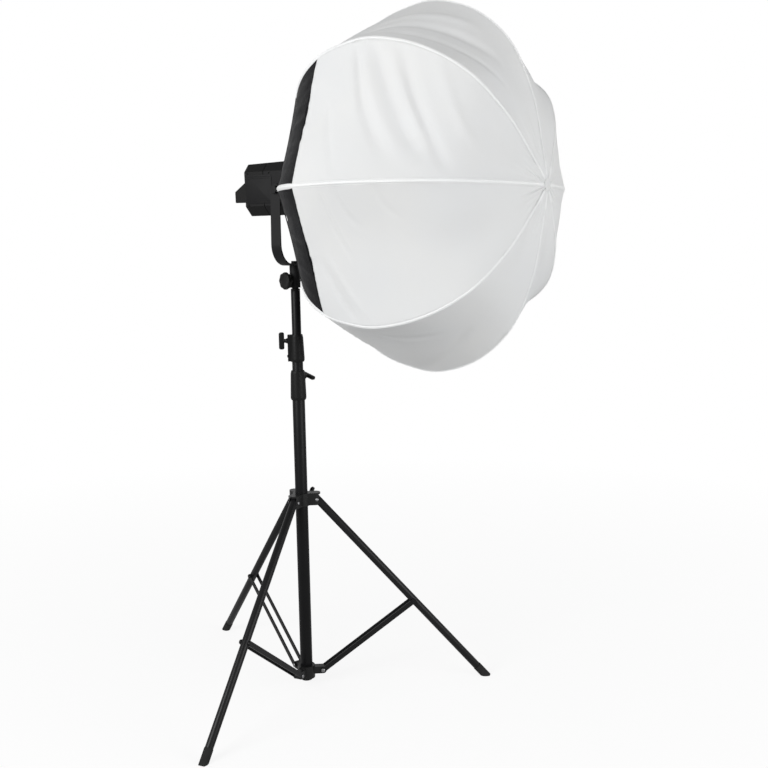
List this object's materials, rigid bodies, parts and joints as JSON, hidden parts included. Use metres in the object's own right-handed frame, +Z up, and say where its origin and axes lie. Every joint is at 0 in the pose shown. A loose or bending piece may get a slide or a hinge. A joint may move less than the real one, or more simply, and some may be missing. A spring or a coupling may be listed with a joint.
{
  "type": "studio softbox",
  "caption": "Lantern softbox with a white diffusing canopy and black rear skirt on a lamp head, held in a tilting yoke on a folding telescopic light stand.",
  "frame": {"origin": "on the floor, under the middle of the bounding box; the column axis stands at x 0.032, y 0.109", "axes": "+Z up along the column; the lamp and the lantern point along -Y; +X to the right when looking along +Y"},
  "size_m": [0.8638, 1.0486, 1.6144],
  "materials": {
    "black_tube": "satin black coated aluminium tube",
    "black_casting": "moulded, satin, slightly grained",
    "rivet_steel": "bright plated",
    "foot_rubber": "matt",
    "yoke_metal": "fine textured black paint",
    "lamp_metal": "satin dark grey paint",
    "lamp_plastic": "matt moulded",
    "bare_aluminium": "satin",
    "circuit_board": "solder resist",
    "sprung_rod": "coated spring rod",
    "black_cloth": "coated nylon with a slight sheen",
    "white_cloth": "thin white diffusion nylon"
  },
  "bodies": {
    "stand_base": {"base_tube": "black_tube", "base_plug": "black_casting", "strut_hub": "black_casting", "lower_clamp": "black_casting", "strut_1_pin": "rivet_steel", "strut_2_pin": "rivet_steel", "strut_3_pin": "rivet_steel"},
    "lower_clamp_knob": {"lower_clamp_knob": "black_casting"},
    "leg_collar": {"leg_collar": "black_casting", "leg_1_pin": "rivet_steel", "leg_2_pin": "rivet_steel", "leg_3_pin": "rivet_steel"},
    "collar_knob": {"collar_knob": "black_casting"},
    "mid_column": {"mid_tube": "black_tube", "upper_clamp": "black_casting"},
    "upper_clamp_knob": {"upper_clamp_knob": "black_casting"},
    "top_column": {"top_tube": "black_tube", "top_stud": "rivet_steel"},
    "yoke": {"yoke_bracket": "yoke_metal", "yoke_receiver": "yoke_metal", "pan_bolt": "yoke_metal", "tilt_bolt": "yoke_metal"},
    "receiver_knob": {"receiver_knob": "black_casting"},
    "tilt_knob": {"tilt_knob": "black_casting"},
    "lamp": {"lamp_body": "lamp_metal", "lamp_rear_cover": "lamp_plastic", "lamp_handle": "lamp_plastic", "heat_sink": "bare_aluminium", "led_board": "circuit_board", "fan_frame": "lamp_plastic", "driver_board": "circuit_board", "mount_ring": "bare_aluminium"},
    "dimmer_knob": {"dimmer_knob": "lamp_plastic"},
    "power_button": {"power_button": "lamp_plastic"},
    "mount_latch": {"mount_latch": "lamp_plastic"},
    "fan_rotor": {"fan_rotor": "lamp_plastic"},
    "softbox": {"speedring": "bare_aluminium", "rib_1": "sprung_rod", "rib_2": "sprung_rod", "rib_3": "sprung_rod", "rib_4": "sprung_rod", "rib_5": "sprung_rod", "rib_6": "sprung_rod", "rib_7": "sprung_rod", "rib_8": "sprung_rod", "front_hub": "lamp_plastic", "skirt": "black_cloth", "canopy": "white_cloth"},
    "leg_1": {"leg_1_tube": "black_tube", "leg_1_foot": "foot_rubber"},
    "strut_1": {"strut_1_bar_a": "black_tube", "strut_1_bar_b": "black_tube"},
    "leg_2": {"leg_2_tube": "black_tube", "leg_2_foot": "foot_rubber"},
    "strut_2": {"strut_2_bar_a": "black_tube", "strut_2_bar_b": "black_tube"},
    "leg_3": {"leg_3_tube": "black_tube", "leg_3_foot": "foot_rubber"},
    "strut_3": {"strut_3_bar_a": "black_tube", "strut_3_bar_b": "black_tube"}
  },
  "joints": [
    {"name": "tripod_fold", "type": "slide", "parent": "stand_base", "child": "leg_collar", "axis": [0, 0, 1], "range_m": [0, 0.202]},
    {"name": "leg_1_fold", "type": "hinge", "parent": "leg_collar", "child": "leg_1", "pos_m": [0.05226, 0.0778, 0.4765], "axis": [0.8387, 0.5446, 0], "range_deg": [0, 37.2]},
    {"name": "strut_1_fold", "type": "hinge", "parent": "stand_base", "child": "strut_1", "pos_m": [0.05433, 0.07461, 0.0372], "axis": [0.8387, 0.5446, 0], "range_deg": [-49.4, 0]},
    {"name": "leg_2_fold", "type": "hinge", "parent": "leg_collar", "child": "leg_2", "pos_m": [0.04889, 0.14215, 0.4765], "axis": [-0.891, 0.454, 0], "range_deg": [0, 37.2]},
    {"name": "strut_2_fold", "type": "hinge", "parent": "stand_base", "child": "strut_2", "pos_m": [0.05061, 0.14553, 0.0372], "axis": [-0.891, 0.454, 0], "range_deg": [-49.4, 0]},
    {"name": "leg_3_fold", "type": "hinge", "parent": "leg_collar", "child": "leg_3", "pos_m": [-0.00515, 0.10705, 0.4765], "axis": [0.0523, -0.9986, 0], "range_deg": [0, 37.2]},
    {"name": "strut_3_fold", "type": "hinge", "parent": "stand_base", "child": "strut_3", "pos_m": [-0.00894, 0.10685, 0.0372], "axis": [0.0523, -0.9986, 0], "range_deg": [-49.4, 0]},
    {"name": "collar_knob_turn", "type": "hinge", "parent": "leg_collar", "child": "collar_knob", "pos_m": [0.07195, 0.11109, 0.478], "axis": [0.9986, 0.0523, 0], "range_deg": [0, 270]},
    {"name": "lower_clamp_turn", "type": "hinge", "parent": "stand_base", "child": "lower_clamp_knob", "pos_m": [0.06681, 0.10534, 0.777], "axis": [0.9945, -0.1045, 0], "range_deg": [0, 270]},
    {"name": "mid_section_slide", "type": "slide", "parent": "stand_base", "child": "mid_column", "axis": [0, 0, 1], "range_m": [-0.02, 0.55]},
    {"name": "upper_clamp_turn", "type": "hinge", "parent": "mid_column", "child": "upper_clamp_knob", "pos_m": [0.01503, 0.13961, 0.866], "axis": [-0.4848, 0.8746, 0], "range_deg": [0, 270]},
    {"name": "top_section_slide", "type": "slide", "parent": "mid_column", "child": "top_column", "axis": [0, 0, 1], "range_m": [-0.09, 0.55]},
    {"name": "yoke_pan", "type": "hinge", "parent": "top_column", "child": "yoke", "pos_m": [0.032, 0.109, 1.04], "axis": [0, 0, 1], "range_deg": [-180, 180]},
    {"name": "receiver_knob_turn", "type": "hinge", "parent": "yoke", "child": "receiver_knob", "pos_m": [0.00381, 0.11926, 1.01], "axis": [-0.9397, 0.342, 0], "range_deg": [0, 270]},
    {"name": "lamp_tilt", "type": "hinge", "parent": "yoke", "child": "lamp", "pos_m": [0.032, 0.109, 1.222], "axis": [-1, 0, 0], "range_deg": [-16, 89]},
    {"name": "tilt_knob_turn", "type": "hinge", "parent": "yoke", "child": "tilt_knob", "pos_m": [0.12, 0.109, 1.222], "axis": [1, 0, 0], "range_deg": [0, 270]},
    {"name": "dimmer_turn", "type": "hinge", "parent": "lamp", "child": "dimmer_knob", "pos_m": [0.097, 0.17525, 1.23397], "axis": [1, 0, 0], "continuous": true},
    {"name": "power_button_press", "type": "slide", "parent": "lamp", "child": "power_button", "axis": [-1, 0, 0], "range_m": [0, 0.002]},
    {"name": "mount_latch_slide", "type": "slide", "parent": "lamp", "child": "mount_latch", "axis": [0, 0.9998, -0.0201], "range_m": [0, 0.005]},
    {"name": "fan_spin", "type": "hinge", "parent": "lamp", "child": "fan_rotor", "pos_m": [0.032, 0.13476, 1.20978], "axis": [0, -0.9998, 0.0201], "continuous": true},
    {"name": "softbox_twist", "type": "hinge", "parent": "lamp", "child": "softbox", "pos_m": [0.032, 0.06371, 1.20821], "axis": [0, -0.9998, 0.0201], "range_deg": [0, 20]}
  ],
  "couplings": [
    {"joint": "leg_1_fold", "follows": "tripod_fold", "rad_per_m": 3.2038},
    {"joint": "strut_1_fold", "follows": "tripod_fold", "rad_per_m": -4.2542},
    {"joint": "leg_2_fold", "follows": "tripod_fold", "rad_per_m": 3.2038},
    {"joint": "strut_2_fold", "follows": "tripod_fold", "rad_per_m": -4.2542},
    {"joint": "leg_3_fold", "follows": "tripod_fold", "rad_per_m": 3.2038},
    {"joint": "strut_3_fold", "follows": "tripod_fold", "rad_per_m": -4.2542}
  ]
}
